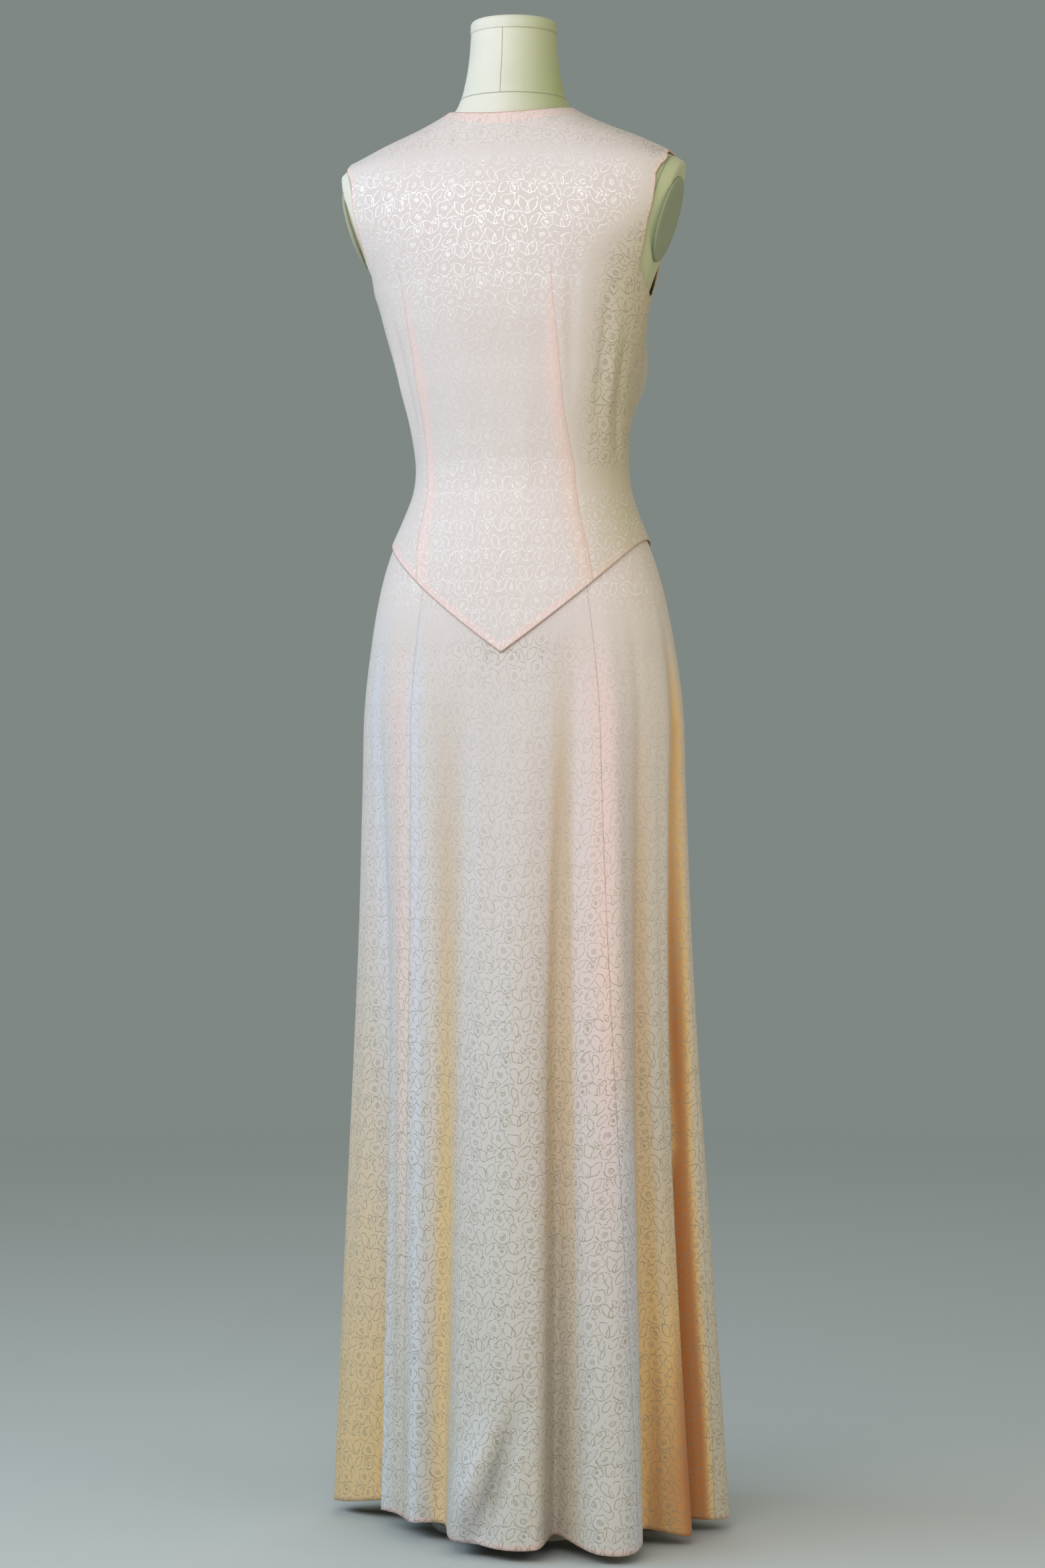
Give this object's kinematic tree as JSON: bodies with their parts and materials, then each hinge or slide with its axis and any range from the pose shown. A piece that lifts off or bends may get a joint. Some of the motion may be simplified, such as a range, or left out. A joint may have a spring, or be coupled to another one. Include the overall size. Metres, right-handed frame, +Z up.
{
  "type": "evening gown on a limbless dress form",
  "caption": "Sleeveless floor-length evening gown with a pointed low waist seam and a fluted gored skirt, standing on a smooth dress form without limbs.",
  "frame": {"origin": "on the floor, in the middle of the stand base's underside, below the pole", "axes": "+Z up; the gown's front faces -Y and its back +Y; the wearer's right side is -X"},
  "size_m": [0.4497, 0.428, 1.6373],
  "materials": {
    "gown_cloth": "pale blush satin-backed crepe with a woven outline flower pattern, soft sheen",
    "form_linen": "off-white plain-woven linen, matt",
    "form_plate": "flat oval board under plain-woven linen, matt",
    "stand_steel": "smooth off-white paint, satin"
  },
  "bodies": {
    "root": {"bodice_back": "gown_cloth", "bodice_front": "gown_cloth", "skirt_back_centre": "gown_cloth", "skirt_back_side_left": "gown_cloth", "skirt_back_side_right": "gown_cloth", "skirt_front_centre": "gown_cloth", "skirt_front_side_left": "gown_cloth", "skirt_front_side_right": "gown_cloth", "form_torso": "form_linen", "form_neck_cap": "form_linen", "form_arm_plate_left": "form_plate", "form_arm_plate_right": "form_plate", "stand_pole": "stand_steel", "stand_base": "stand_steel"}
  },
  "joints": []
}
